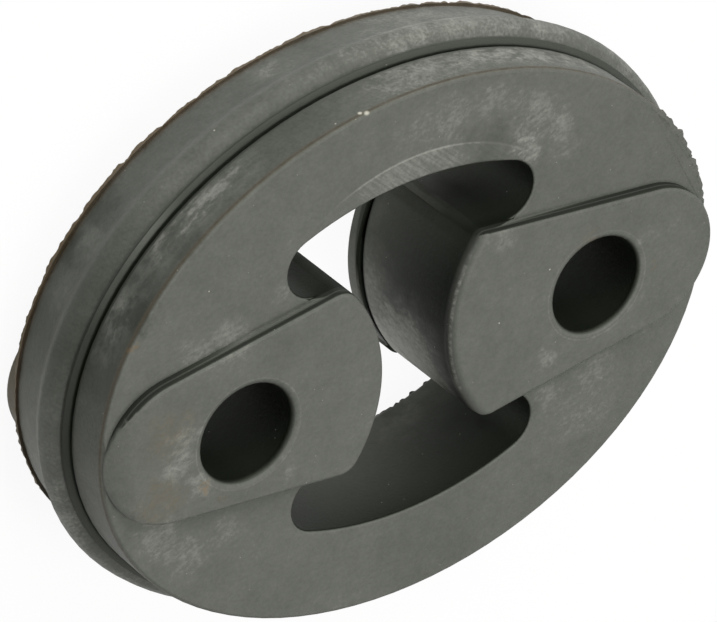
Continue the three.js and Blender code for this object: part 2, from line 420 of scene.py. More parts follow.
@dataclass(frozen=True)
class MouldedRubber:
    """Black natural rubber, compression moulded, dulled by wax bloom and talc.

    Its colour follows from one value, the cover: how much bloom lies on the black rubber, from 0
    to 1, lowered in places as painted shade and raised in places as painted light. All lengths are
    in millimetres.
    """

    bare: str = "#070c04"
    dulled: str = "#5a5b56"
    bloomed: str = "#a6a69e"
    brown: str = "#6a5338"
    speck: str = "#b9b6a8"
    roughness: float = 0.58
    ior: float = 1.45
    sheen: str = "#dde8d2"
    oval: Oval = field(default_factory=Oval)
    # How upright a surface is, by how far its normal leans: a face at the first value, a wall at
    # the second. How near a wall must be to the oval's edge, 1, to be the outer one.
    upright: tuple[float, float] = (0.85, 0.45)
    near_edge: tuple[float, float] = (0.972, 0.985)
    # How much a pad's side must face along Y, to be a long side
    long_side: tuple[float, float] = (0.45, 0.75)
    # Cover of the flat faces; what the bead has more than the wall; cover of the walls inside at
    # their front and rear, kept low as painted shade, and the heights between which it changes
    face_cover: float = 0.445
    bead: Zone = Zone(6.3, BEAD_FRONT, 0.8)
    bead_gain: float = 1.18
    inner_cover_and_shade: tuple[float, float] = (0.0, 0.22)
    inner_shade_fade: tuple[float, float] = (14.5, 4.0)
    # Outer wall round the oval: painted light at the top, painted shade on the left
    wall_cover_and_shade: Stops = (
        (20, 0.42),
        (44, 0.43),
        (62, 0.46),
        (84, 0.5),
        (97, 0.42),
        (110, 0.36),
        (131, 0.35),
        (146, 0.22),
        (160, 0.19),
        (173, 0.32),
        (186, 0.46),
        (206, 0.46),
        (230, 0.42),
    )
    bands: tuple[Band, ...] = (
        # The strip between the bead and the split line, and the fine line at the bead's foot:
        # painted shade in the step
        Band(
            Surface.OUTER,
            Zone(BEAD_FRONT + 0.1, SPLIT_LOW + 0.05, 0.2),
            (
                (20, 0.22),
                (90, 0.22),
                (112, 0.2),
                (127, 0.26),
                (136, 0.5),
                (145, 0.3),
                (158, 0.16),
                (180, 0.16),
                (194, 0.26),
                (208, 0.26),
            ),
        ),
        Band(Surface.OUTER, Zone(BEAD_FRONT + 0.12, BEAD_FRONT + 0.36, 0.1), 0.14),
        # The rim's foot, darkened on the left, and the split line, black: painted shade of the
        # groove
        Band(
            Surface.OUTER,
            Zone(SPLIT_HIGH, SPLIT_HIGH + 0.25, 0.2),
            ((96, 0.45), (112, 0.24), (128, 0.12), (178, 0.12), (192, 0.4)),
        ),
        Band(Surface.OUTER, Zone(SPLIT_LOW - 0.02, SPLIT_HIGH + 0.02, 0.06), 0.0),
        # The pads' long sides, darkened as painted shade, and the pale line along the middle of
        # them
        Band(Surface.SIDE, Zone(FRONT_FACE + 0.02, FRONT_PAD - 0.2, 0.12), 0.08),
        Band(Surface.SIDE, Zone(FRONT_FACE + 0.5, FRONT_FACE + 0.66, 0.1), 0.28),
    )
    # The rim's broken dark edge
    rim_edge: Band = Band(
        Surface.OUTER, Zone(FRONT_FACE - 0.5, FRONT_FACE - 0.22, 0.14), 0.16
    )
    # Old flash and mould edges that have gone brown, with how brown each is
    browned: tuple[tuple[Zone, float], ...] = (
        (Zone(REAR_FACE - 0.15, FLASH_TOP + 0.05), 0.5),
        (Zone(FLASH_TOP, FLASH_TOP + 0.5, 0.3), 0.15),
        (Zone(-1.0, REAR_FACE), 0.3),
        (Zone(FRONT_FACE - 0.6, FRONT_FACE - 0.1), 0.16),
    )
    stain_share: float = 0.6
    # The right nose: its seam, the foot under it, painted lighter as bounce light from the floor,
    # and how far both reach along Y
    seam: Zone = Zone(SEAM_HEIGHT - 0.5, SEAM_HEIGHT + SEAM_WIDTH + 0.1, 0.3)
    seam_cover: float = 0.03
    painted_foot_light: Zone = Zone(-1.0, SEAM_HEIGHT - 0.4, 0.2)
    painted_foot_light_cover: float = 0.42
    nose_reach: Zone = Zone(-10.9, 10.9, 0.4)
    nose_edge: Zone = Zone(FRONT_PAD - 0.68, FRONT_PAD - 0.36, 0.14)
    rim: Zone = Zone(10.2, 13.4, 1.6)
    rim_bloom: Stops = (
        (14, 0.0),
        (26, 0.25),
        (40, 0.5),
        (56, 1.05),
        (70, 1.15),
        (84, 0.5),
        (92, 0.55),
        (98, 0.3),
        (104, 0.0),
        (113, 0.05),
        (120, 1.0),
        (128, 1.3),
        (137, 1.2),
        (143, 0.6),
        (150, 1.3),
        (156, 0.9),
        (163, 0.0),
    )
    bores: tuple[tuple[float, float], ...] = ((-19.5, -1.05), (20.6, -0.4))
    bore_radius: float = 5.0
    ring_radius: float = 5.8
    turned_centre: tuple[float, float, float] = (0.6, 0.05, 0.0)
    turned_radius: float = 20.85
    turned_width: float = 4.0
    turned_from: tuple[float, float] = (11.5, 13.5)
    # What each kind of mark adds to the cover where it is full, and what a rubbed spot, or a spot
    # of painted shade, keeps of it
    cloud_share: float = 0.2
    rim_share: float = 0.27
    line_share: float = 0.18
    land_share: float = 0.13
    dust_and_bounce_share: float = 0.85
    rough_share: float = 0.34
    ring_share: float = 0.07
    rubbed_and_shaded_share: float = 0.35
    # Broken bloom in the clouds; two lots of hairline scratches over them; patches of bloom on the
    # rim; cutting marks on the turned arc
    broken: Strokes = Strokes((0.9, 0.45, 0.6), 15.0, 0.36, 0.66)
    scratches: tuple[Strokes, ...] = (
        Strokes((7.0, 0.22, 2.0), 12.0, 0.6, 0.7),
        Strokes((6.0, 0.2, 2.0), -38.0, 0.62, 0.72),
    )
    rim_patches: Strokes = Strokes((2.4, 1.3, 1.0), 20.0, 0.4, 0.62)
    cutting: Strokes = Strokes((3.5, 0.3, 1.0), -44.0, 0.4, 0.62)
    # Grain of the skin, from the press's own flow marks down to what shows as single points, with
    # how strongly each changes the cover; the outer wall is rougher than the faces.
    grain: tuple[tuple[float, float], ...] = ((9.0, 0.2), (1.6, 0.17), (0.34, 0.26))
    wall_grain: float = 1.6
    # How coarse and how wide the torn edges of spots are
    tear_size: float = 2.5
    tear_reach: float = 2.5
    # The skin's fine unevenness, drawn coarser than the mould's blasted surface, so that it shows
    skin_grain: float = 0.4
    skin_depth: float = 0.08
    # The part of a spot's radius inside which it is full
    spot_core: float = 0.3
    # Talc in single grains, by spacing, radius and strength. They are drawn larger than real talc,
    # so that they show.
    specks: tuple[tuple[float, float, float], ...] = ((4.2, 0.085, 0.7), (1.7, 0.05, 0.4))
    patches: tuple[Patch, ...] = (
        # Front face, above the upper cavity
        Patch(Mark.BLOOM, 1.0, 23.9, 15.2, 3.0, 0.5),
        Patch(Mark.BLOOM, 4.9, 23.5, 15.2, 3.6, 0.7),
        Patch(Mark.BLOOM, 9.0, 23.8, 15.2, 3.4, 0.8),
        Patch(Mark.BLOOM, 11.4, 22.0, 15.2, 3.0, 0.7),
        Patch(Mark.BLOOM, 13.6, 19.6, 15.2, 4.0, 1.0),
        Patch(Mark.BLOOM, 16.8, 18.0, 15.2, 2.6, 0.9),
        Patch(Mark.BLOOM, 17.2, 15.6, 15.2, 2.4, 0.6),
        Patch(Mark.BLOOM, 12.6, 16.8, 15.2, 2.6, 1.6),
        # Front face, along the left pad and at the lower left
        Patch(Mark.BLOOM, -14.5, 11.4, 15.2, 2.6, 0.5),
        Patch(Mark.BLOOM, -20.4, 9.2, 15.2, 3.2, 0.7),
        Patch(Mark.BLOOM, -24.4, 8.4, 15.2, 3.0, 0.6),
        Patch(Mark.BLOOM, -28.9, -9.2, 15.2, 3.6, 0.9),
        Patch(Mark.BLOOM, -25.8, -12.6, 15.2, 3.6, 0.8),
        Patch(Mark.BLOOM, -21.6, -11.8, 15.2, 3.2, 0.6),
        # Front face, under the right pad
        Patch(Mark.BLOOM, 15.6, -11.9, 15.2, 2.6, 0.7),
        Patch(Mark.BLOOM, 21.4, -11.0, 15.2, 3.8, 0.6),
        Patch(Mark.BLOOM, 27.0, -8.0, 15.2, 3.0, 0.5),
        Patch(Mark.BLOOM, 20.5, -15.4, 15.2, 5.0, 0.5),
        # Pads
        Patch(Mark.BLOOM, -26.1, 1.6, 16.5, 2.4, 0.8),
        Patch(Mark.BLOOM, -27.4, -1.4, 16.5, 3.0, 1.0),
        Patch(Mark.BLOOM, -24.7, -4.4, 16.5, 2.2, 0.9),
        Patch(Mark.BLOOM, -15.0, -6.6, 16.5, 1.6, 0.5),
        Patch(Mark.BLOOM, 14.5, -6.3, 16.5, 1.6, 0.7),
        Patch(Mark.BLOOM, 9.3, 9.0, 16.5, 2.2, 0.6),
        Patch(Mark.BLOOM, 26.4, 3.0, 16.5, 1.6, 0.4),
        Patch(Mark.BLOOM, 13.0, 1.0, 16.5, 5.5, 0.25),
        Patch(Mark.BLOOM, 23.0, -4.6, 16.5, 5.5, 0.3),
        # Rear band
        Patch(Mark.BLOOM, 8.0, 27.8, 4.0, 5.0, 0.35),
        Patch(Mark.BLOOM, -8.6, 27.4, 3.9, 2.6, 0.9),
        Patch(Mark.BLOOM, -28.2, 17.2, 4.6, 2.6, 1.2),
        Patch(Mark.BLOOM, -31.4, 12.9, 4.6, 2.6, 0.8),
        # Rubbed bare of bloom on the faces and outer wall, and painted shade deep in the cavities
        Patch(Mark.WIPED, -26.3, 19.2, 3.2, 3.2, 0.6),
        Patch(Mark.WIPED, -29.4, 15.6, 2.3, 2.2, 0.7),
        Patch(Mark.WIPED, -29.6, 14.6, 14.0, 2.4, 0.8),
        Patch(Mark.WIPED, -24.1, 19.9, 14.2, 2.0, 0.5),
        Patch(Mark.WIPED, -17.0, 7.5, 16.5, 4.0, 0.12),
        Patch(Mark.WIPED, 3.0, -23.0, 15.2, 9.0, 0.2),
        Patch(Mark.WIPED, 14.5, -12.5, 10.0, 6.0, 0.8),
        Patch(Mark.WIPED, 11.5, -16.6, 4.6, 6.0, 0.8),
        Patch(Mark.WIPED, 7.5, -17.4, 0.6, 3.4, 1.3),
        Patch(Mark.WIPED, 8.5, 18.0, 9.0, 9.0, 1.0),
        # Brown from rust
        Patch(Mark.STAIN, -24.5, -4.7, 16.5, 1.2, 1.3),
        Patch(Mark.STAIN, -22.4, -6.8, 16.5, 1.0, 0.6),
        Patch(Mark.STAIN, -29.2, -4.4, 16.5, 3.4, 0.5),
        Patch(Mark.STAIN, -28.0, 2.6, 16.5, 3.6, 0.4),
        Patch(Mark.STAIN, 27.6, -0.5, 16.5, 0.4, 1.4),
        Patch(Mark.STAIN, -30.9, 12.4, 15.1, 1.0, 1.0),
        Patch(Mark.STAIN, 20.0, 4.9, 16.5, 2.0, 0.4),
        # Pale chips
        Patch(Mark.CHIP, -5.0, 27.5, 15.0, 0.42),
        Patch(Mark.CHIP, -5.5, 27.4, 14.6, 0.3),
        Patch(Mark.CHIP, 5.9, 10.3, 16.2, 0.2),
        Patch(Mark.CHIP, -29.8, 6.1, 15.2, 0.16),
        # Dust at the foot of the right nose, which also paints bounce light from the floor there
        Patch(Mark.DUST, 6.4, -9.4, 1.6, 10.0, 1.0),
        Patch(Mark.DUST, 3.6, -2.0, 2.0, 8.0, 0.6),
        Patch(Mark.DUST, 4.2, 6.0, 1.0, 4.0, 0.2),
        Patch(Mark.DUST, 4.2, -5.5, 9.0, 7.8, 1.1),
        # The rough front edge of the right nose
        Patch(Mark.ROUGH, 3.6, 1.0, 16.5, 11.0, 1.0),
        # The turned arc round the upper cavity
        Patch(Mark.TURNED, 2.6, 20.4, 15.2, 15.5),
    )

    def spots(self, tree: Tree, place: Node, mark: Mark) -> Node:
        """Draws soft round spots.

        Args:
            tree: The material's node tree.
            place: The point on the rubber, in mm.
            mark: Which spots are drawn.

        Returns:
            A node that is 0 away from the spots and rises to each one's strength at its middle.
        """
        total = None
        for patch in self.patches:
            if patch.mark is not mark:
                continue
            centre = (patch.x, patch.y, patch.z)
            away = add_node(tree, "VectorMath", {0: place, 1: centre}, operation="DISTANCE")
            rise = {"From Min": patch.radius, "From Max": patch.radius * self.spot_core}
            rise |= {"Value": away, "To Max": patch.strength}
            spot = add_node(tree, "MapRange", rise, interpolation_type="SMOOTHSTEP")
            if total is not None:
                spot = add_node(tree, "Math", {0: total, 1: spot}, operation="MAXIMUM")
            total = spot
        return total

    def inside_zone(
        self, tree: Tree, value: Node | Socket, zone: Zone, mask: Node | None = None
    ) -> Node:
        """Marks where a value lies inside a zone.

        Args:
            tree: The material's node tree.
            value: The value, in mm.
            zone: The zone.
            mask: A further limit, from 0 to 1.

        Returns:
            A node that is 1 inside the zone and the mask, and 0 outside them.
        """
        centre, half = (zone.low + zone.high) / 2, (zone.high - zone.low) / 2
        away = add_node(tree, "Math", {0: value, 1: centre}, operation="SUBTRACT")
        away = add_node(tree, "Math", {0: away}, operation="ABSOLUTE")
        limits = {"From Min": half + zone.soft / 2, "From Max": max(half - zone.soft / 2, 0)}
        inside = add_node(tree, "MapRange", {"Value": away, **limits})
        if mask is None:
            return inside
        return add_node(tree, "Math", {0: inside, 1: mask}, operation="MULTIPLY")

    def along_oval(self, tree: Tree, turn: Node, stops: Stops) -> Node:
        """Lets a value change along the oval.

        Args:
            tree: The material's node tree.
            turn: The place along the oval, from 0 to 1.
            stops: The values at some angles.

        Returns:
            The value's node.
        """
        ramp = add_node(tree, "ValToRGB", {0: turn})
        ramp.color_ramp.interpolation = "EASE"
        elements = ramp.color_ramp.elements
        while len(elements) < len(stops):
            elements.new(0.5)
        for element, (angle, value) in zip(elements, stops):
            element.position = (angle - TURN_START) / 360
            element.color = (value, value, value, 1)
        return ramp

    def stroked(self, tree: Tree, place: Node, strokes: Strokes) -> Node:
        """Draws strokes.

        Args:
            tree: The material's node tree.
            place: The point on the rubber, in mm.
            strokes: What they are like.

        Returns:
            A node that is 0 between the strokes and 1 on them.
        """
        turned = {"Vector": place, "Scale": strokes.size}
        turned["Rotation"] = (0, 0, radians(strokes.direction))
        turned = add_node(tree, "Mapping", turned, vector_type="TEXTURE")
        pattern = {"Vector": turned, "Scale": 1.0, "Detail": 5.0, "Roughness": 0.7}
        rise = {"From Min": strokes.start, "From Max": strokes.full}
        rise["Value"] = add_node(tree, "TexNoise", pattern)
        return add_node(tree, "MapRange", rise)

    def locate(self, tree: Tree) -> Whereabouts:
        """Works out where a point of the rubber lies.

        Args:
            tree: The material's node tree.

        Returns:
            The nodes that hold the answers.
        """
        coordinates = add_node(tree, "TexCoord").outputs["Object"]
        place = add_node(tree, "VectorMath", {0: coordinates, "Scale": 1 / MM}, operation="SCALE")
        flat = add_node(tree, "VectorMath", {0: place, 1: (1, 1, 0)}, operation="MULTIPLY")
        parts = add_node(tree, "SeparateXYZ", {0: place})
        height = parts.outputs["Z"]
        normal = add_node(tree, "NewGeometry").outputs["Normal"]
        facing = add_node(tree, "SeparateXYZ", {0: normal})
        level = add_node(tree, "Math", {0: facing.outputs["Z"]}, operation="ABSOLUTE")
        limits = dict(zip(("From Min", "From Max"), self.upright))
        wall = add_node(tree, "MapRange", {"Value": level, **limits})

        # How far out on the oval, 1 on its edge, and how far round
        squash = (1 / self.oval.half_length, 1 / self.oval.half_height, 0)
        oval = add_node(tree, "VectorMath", {0: place, 1: squash}, operation="MULTIPLY")
        reach = add_node(tree, "VectorMath", {0: oval}, operation="LENGTH")
        rolled = {0: oval, "Angle": radians(-TURN_START - 180)}
        rolled = add_node(tree, "VectorRotate", rolled, rotation_type="Z_AXIS")
        rolled = add_node(tree, "SeparateXYZ", {0: rolled})
        sides = {0: rolled.outputs["Y"], 1: rolled.outputs["X"]}
        angle = add_node(tree, "Math", sides, operation="ARCTAN2")
        whole = {0: angle, 1: 1 / (2 * pi), 2: 0.5}
        turn = add_node(tree, "Math", whole, operation="MULTIPLY_ADD")

        # The outer wall, with the ledges and grooves in it below the front face's edge
        limits = dict(zip(("From Min", "From Max"), self.near_edge))
        edge = add_node(tree, "MapRange", {"Value": reach, **limits})
        edge_wall = add_node(tree, "Math", {0: wall, 1: edge}, operation="MULTIPLY")
        below = {"Value": height, "From Min": FRONT_FACE - 0.9, "From Max": FRONT_FACE - 1.2}
        below = add_node(tree, "MapRange", below)
        ledge = add_node(tree, "Math", {0: edge, 1: below}, operation="MULTIPLY")
        outer = add_node(tree, "Math", {0: edge_wall, 1: ledge}, operation="MAXIMUM")

        # The walls inside, below the pads, and the pads' long sides
        inside = add_node(tree, "Math", {0: wall, 1: edge_wall}, operation="SUBTRACT")
        below = {"Value": height, "From Min": FRONT_FACE + 0.6, "From Max": FRONT_FACE}
        below = add_node(tree, "MapRange", below)
        inner = add_node(tree, "Math", {0: inside, 1: below}, operation="MULTIPLY")
        sideways = add_node(tree, "Math", {0: facing.outputs["Y"]}, operation="ABSOLUTE")
        limits = dict(zip(("From Min", "From Max"), self.long_side))
        sideways = add_node(tree, "MapRange", {"Value": sideways, **limits})
        side = add_node(tree, "Math", {0: wall, 1: sideways}, operation="MULTIPLY")
        return Whereabouts(place, flat, parts.outputs["Y"], height, turn, outer, inner, side)

    def plain_cover(self, tree: Tree, where: Whereabouts) -> Node:
        """Gives each surface its own cover, with painted light and shade, and the grain of its
        skin.

        Args:
            tree: The material's node tree.
            where: The nodes that say where the point lies.

        Returns:
            The cover's node.
        """
        # The walls inside are painted dark as painted shade, darkest near the front face.
        fade = dict(zip(("From Min", "From Max"), self.inner_shade_fade))
        fade |= dict(zip(("To Min", "To Max"), self.inner_cover_and_shade))
        inner = add_node(tree, "MapRange", {"Value": where.height, **fade})
        mixed = {0: where.inner, "A": self.face_cover, "B": inner}
        cover = add_node(tree, "Mix", mixed, data_type="FLOAT")
        # The outer wall's cover carries painted light at the top and painted shade on the left.
        around = self.along_oval(tree, where.turn, self.wall_cover_and_shade)
        mixed = {0: where.outer, "A": cover, "B": around}
        cover = add_node(tree, "Mix", mixed, data_type="FLOAT")

        bead = self.inside_zone(tree, where.height, self.bead, where.outer)
        lighter = {"Value": bead, "To Min": 1.0, "To Max": self.bead_gain}
        lighter = add_node(tree, "MapRange", lighter)
        cover = add_node(tree, "Math", {0: cover, 1: lighter}, operation="MULTIPLY")

        amount = {"Value": where.outer, "To Min": 1.0, "To Max": self.wall_grain}
        amount = add_node(tree, "MapRange", amount)
        for size, depth in self.grain:
            pattern = {"Vector": where.place, "Scale": 1 / size, "Detail": 4.0, "Roughness": 0.6}
            grain = add_node(tree, "TexNoise", pattern)
            grain = add_node(tree, "Math", {0: grain, 1: 0.5}, operation="SUBTRACT")
            grain = add_node(tree, "Math", {0: grain, 1: amount}, operation="MULTIPLY")
            change = {0: grain, 1: 2 * depth, 2: 1.0}
            grain = add_node(tree, "Math", change, operation="MULTIPLY_ADD")
            cover = add_node(tree, "Math", {0: cover, 1: grain}, operation="MULTIPLY")
        return cover

    def cloudy_bloom(self, tree: Tree, where: Whereabouts, torn: Node, broken: Node) -> Node:
        """Draws the clouds of bloom, with hairline scratches in them.

        Args:
            tree: The material's node tree.
            where: The nodes that say where the point lies.
            torn: The point, moved about so that a round spot on it has torn edges.
            broken: The strokes in the clouds, from 0 to 1.

        Returns:
            The clouds' node.
        """
        hairs = [self.stroked(tree, where.place, scratch) for scratch in self.scratches]
        hairs = add_node(tree, "Math", dict(enumerate(hairs)), operation="MAXIMUM")
        on_face = add_node(tree, "MapRange", {"Value": where.outer, "To Min": 0.5, "To Max": 0.1})
        hairs = add_node(tree, "Math", {0: hairs, 1: on_face}, operation="MULTIPLY")
        mottled = add_node(tree, "MapRange", {"Value": broken, "To Min": 0.3, "To Max": 1.0})
        clouds = add_node(tree, "Math", {0: hairs, 1: mottled}, operation="ADD")
        spots = self.spots(tree, torn, Mark.BLOOM)
        return add_node(tree, "Math", {0: clouds, 1: spots}, operation="MULTIPLY")

    def rim_bloomed(self, tree: Tree, where: Whereabouts) -> Node:
        """Draws the patches of bloom along the rim.

        Args:
            tree: The material's node tree.
            where: The nodes that say where the point lies.

        Returns:
            The patches' node.
        """
        rim = self.inside_zone(tree, where.height, self.rim, where.outer)
        around = self.along_oval(tree, where.turn, self.rim_bloom)
        rim = add_node(tree, "Math", {0: rim, 1: around}, operation="MULTIPLY")
        patchy = self.stroked(tree, where.place, self.rim_patches)
        return add_node(tree, "Math", {0: rim, 1: patchy}, operation="MULTIPLY")

    def turned_arc(self, tree: Tree, where: Whereabouts) -> tuple[Node, Node]:
        """Draws the arc that the mould's turned insert left on the face above the upper cavity.

        Args:
            tree: The material's node tree.
            where: The nodes that say where the point lies.

        Returns:
            The nodes of the arc's bright line and of the cut land inside it.
        """
        limits = dict(zip(("From Min", "From Max"), self.turned_from))
        above = add_node(tree, "MapRange", {"Value": where.across, **limits})
        spot = self.spots(tree, where.place, Mark.TURNED)
        arc = add_node(tree, "Math", {0: above, 1: spot}, operation="MULTIPLY")
        from_centre = {0: where.flat, 1: self.turned_centre}
        away = add_node(tree, "VectorMath", from_centre, operation="DISTANCE")
        radius = self.turned_radius
        line = self.inside_zone(tree, away, Zone(radius - 0.1, radius + 0.1, 0.16), arc)
        land = self.inside_zone(tree, away, Zone(radius - self.turned_width, radius, 0.2), arc)
        cuts = self.stroked(tree, where.place, self.cutting)
        cuts = add_node(tree, "MapRange", {"Value": cuts, "To Min": 0.3, "To Max": 1.0})
        return line, add_node(tree, "Math", {0: land, 1: cuts}, operation="MULTIPLY")

    def nose_marks(
        self, tree: Tree, where: Whereabouts, torn: Node, broken: Node
    ) -> tuple[Node, Node]:
        """Draws the dust, with painted bounce light, on the right nose and the roughness along its
        front edge.

        Args:
            tree: The material's node tree.
            where: The nodes that say where the point lies.
            torn: The point, moved about so that a round spot on it has torn edges.
            broken: The strokes in the clouds, from 0 to 1.

        Returns:
            The nodes of the dust with its painted bounce light, and of the rough edge.
        """
        uneven = add_node(tree, "MapRange", {"Value": broken, "To Min": 0.7, "To Max": 1.0})
        # The dust spots also paint bounce light from the floor on the nose's foot.
        spots = self.spots(tree, torn, Mark.DUST)
        dust_and_bounce = add_node(tree, "Math", {0: spots, 1: uneven}, operation="MULTIPLY")
        edge = self.inside_zone(
            tree, where.height, self.nose_edge, self.spots(tree, where.place, Mark.ROUGH)
        )
        return dust_and_bounce, add_node(tree, "Math", {0: edge, 1: broken}, operation="MULTIPLY")

    def add_bloom(
        self, tree: Tree, where: Whereabouts, torn: Node, broken: Node, cover: Node
    ) -> Node:
        """Lays the bloom, the turned arc, and the dust with painted bounce light on the skin, and
        wipes some off, which also paints shade deep in the cavities.

        Args:
            tree: The material's node tree.
            where: The nodes that say where the point lies.
            torn: The point, moved about so that a round spot on it has torn edges.
            broken: The strokes in the clouds, from 0 to 1.
            cover: The cover so far.

        Returns:
            The new cover's node.
        """
        line, land = self.turned_arc(tree, where)
        dust_and_bounce, rough = self.nose_marks(tree, where, torn, broken)
        layers = (
            (self.cloudy_bloom(tree, where, torn, broken), self.cloud_share),
            (self.rim_bloomed(tree, where), self.rim_share),
            (line, self.line_share),
            (land, self.land_share),
            (dust_and_bounce, self.dust_and_bounce_share),
            (rough, self.rough_share),
        )
        for layer, share in layers:
            added = {0: layer, 1: share, 2: cover}
            cover = add_node(tree, "Math", added, operation="MULTIPLY_ADD")
        # Spots rubbed bare of bloom, and painted shade deep in the cavities, keep only part of the
        # cover.
        rubbed_and_shaded = add_node(tree, "Math", {0: cover, 1: self.rubbed_and_shaded_share}, operation="MULTIPLY")
        mixed = {0: self.spots(tree, torn, Mark.WIPED), "A": cover, "B": rubbed_and_shaded}
        return add_node(tree, "Mix", mixed, data_type="FLOAT")

    def draw_lines(self, tree: Tree, where: Whereabouts, broken: Node, cover: Node) -> Node:
        """Paints shade into the lines where the moulding is split, stepped or bored, and painted
        light on the right nose's foot.

        Args:
            tree: The material's node tree.
            where: The nodes that say where the point lies.
            broken: The strokes in the clouds, which also break the rim's edge up, from 0 to 1.
            cover: The cover so far.

        Returns:
            The new cover's node.
        """
        height = where.height
        surfaces = {Surface.OUTER: where.outer, Surface.SIDE: where.side}
        layers = []
        for band in self.bands:
            value = band.cover
            if isinstance(value, tuple):
                value = self.along_oval(tree, where.turn, value)
            share = self.inside_zone(tree, height, band.zone, surfaces[band.surface])
            layers.append((share, value))

        edge = self.inside_zone(tree, height, self.rim_edge.zone, where.outer)
        torn_away = add_node(tree, "MapRange", {"Value": broken, "To Min": 0.4, "To Max": 1.0})
        edge = add_node(tree, "Math", {0: edge, 1: torn_away}, operation="MULTIPLY")
        layers.append((edge, self.rim_edge.cover))

        # The right nose's seam runs on a slant, so heights there are measured along it.
        slant = {0: where.across, 1: SEAM_SLOPE, 2: height}
        slant = add_node(tree, "Math", slant, operation="MULTIPLY_ADD")
        # The right nose's foot is painted lighter, as bounce light from the floor, where the dust
        # lies.
        dusty_and_lit = {0: self.spots(tree, where.place, Mark.DUST), 1: where.inner}
        dusty_and_lit = add_node(tree, "Math", dusty_and_lit, operation="MULTIPLY")
        layers.append((self.inside_zone(tree, slant, self.painted_foot_light, dusty_and_lit), self.painted_foot_light_cover))
        within = add_node(tree, "Math", {0: 1.0, 1: where.outer}, operation="SUBTRACT")
        within = self.inside_zone(tree, where.across, self.nose_reach, within)
        layers.append((self.inside_zone(tree, slant, self.seam, within), self.seam_cover))
        for share, value in layers:
            cover = add_node(tree, "Mix", {0: share, "A": cover, "B": value}, data_type="FLOAT")

        # A faint ring round each bore; inside its lip the bore is painted black, as painted shade.
        ring_zone = Zone(self.ring_radius - 0.07, self.ring_radius + 0.07, 0.12)
        limits = {"From Min": self.bore_radius + 0.35, "From Max": self.bore_radius + 0.05}
        for x, y in self.bores:
            centre = {0: where.flat, 1: (x, y, 0)}
            away = add_node(tree, "VectorMath", centre, operation="DISTANCE")
            ring = {0: self.inside_zone(tree, away, ring_zone), 1: self.ring_share, 2: cover}
            cover = add_node(tree, "Math", ring, operation="MULTIPLY_ADD")
            bore_shade = add_node(tree, "MapRange", {"Value": away, **limits})
            cover = add_node(tree, "Mix", {0: bore_shade, "A": cover, "B": 0.0}, data_type="FLOAT")
        return cover

    def tint(
        self, tree: Tree, where: Whereabouts, torn: Node, broken: Node, cover: Node
    ) -> Node:
        """Turns the cover into colour and adds rust, old flash, talc and chips.

        Args:
            tree: The material's node tree.
            where: The nodes that say where the point lies.
            torn: The point, moved about so that a round spot on it has torn edges.
            broken: The strokes in the clouds, from 0 to 1.
            cover: The cover.

        Returns:
            The colour's node.
        """
        skin = add_node(tree, "ValToRGB", {0: cover})
        skin.color_ramp.elements[0].color = linear(self.bare)
        skin.color_ramp.elements[1].color = linear(self.bloomed)
        skin.color_ramp.elements.new(0.5).color = linear(self.dulled)

        stain = {0: self.spots(tree, torn, Mark.STAIN), 1: broken}
        stain = add_node(tree, "Math", stain, operation="MULTIPLY")
        brown = add_node(tree, "Math", {0: stain, 1: self.stain_share}, operation="MULTIPLY")
        for zone, most in self.browned:
            share = self.inside_zone(tree, where.height, zone, where.outer)
            share = add_node(tree, "Math", {0: share, 1: most}, operation="MULTIPLY")
            brown = add_node(tree, "Math", {0: brown, 1: share}, operation="MAXIMUM")
        layers = [(brown, self.brown), (self.spots(tree, where.place, Mark.CHIP), self.speck)]
        for spacing, radius, strength in self.specks:
            cells = add_node(tree, "TexVoronoi", {"Vector": where.place, "Scale": 1 / spacing})
            dot = add_node(tree, "Math", {0: cells, 1: radius / spacing}, operation="LESS_THAN")
            dot = add_node(tree, "Math", {0: dot, 1: strength}, operation="MULTIPLY")
            layers.append((dot, self.speck))
        colour = skin
        for share, shade in layers:
            mixed = {0: share, "A": colour, "B": linear(shade)}
            colour = add_node(tree, "Mix", mixed, data_type="RGBA")
        return colour

    def build(self) -> bpy.types.Material:
        """Makes the material.

        Returns:
            The rubber's material.
        """
        # Compression-moulded black rubber: a dull skin, grey where wax and talc have come to the
        # surface, and painted black inside the bores and cavities as painted shade.
        material, tree = new_material("black_moulded_rubber")
        where = self.locate(tree)
        clouds = {"Vector": where.place, "Scale": 1 / self.tear_size, "Detail": 4.0}
        clouds["Roughness"] = 0.65
        tear = add_node(tree, "TexNoise", clouds)
        reach = self.tear_reach
        moved = {0: tear.outputs["Color"], 1: (2 * reach,) * 3, 2: where.place}
        torn = add_node(tree, "VectorMath", moved, operation="MULTIPLY_ADD")
        torn = add_node(tree, "VectorMath", {0: torn, 1: (reach,) * 3}, operation="SUBTRACT")
        broken = self.stroked(tree, where.place, self.broken)

        cover = self.plain_cover(tree, where)
        cover = self.add_bloom(tree, where, torn, broken, cover)
        cover = self.draw_lines(tree, where, broken, cover)
        colour = self.tint(tree, where, torn, broken, cover)

        fine = {"Vector": where.place, "Scale": 1 / self.skin_grain, "Detail": 6.0}
        fine["Roughness"] = 0.7
        bump = {"Height": add_node(tree, "TexNoise", fine), "Distance": self.skin_depth * MM}
        rougher = {"Value": where.outer, "To Min": 0.5, "To Max": 0.9}
        bump["Strength"] = add_node(tree, "MapRange", rougher)
        finish = {"Base Color": colour, "Normal": add_node(tree, "Bump", bump)}
        finish |= {"Roughness": self.roughness, "IOR": self.ior}
        finish["Specular Tint"] = linear(self.sheen)
        shader = add_node(tree, "BsdfPrincipled", finish)
        add_node(tree, "OutputMaterial", {"Surface": shader})
        log.info("%s: %d nodes", material.name, len(tree.nodes))
        return material


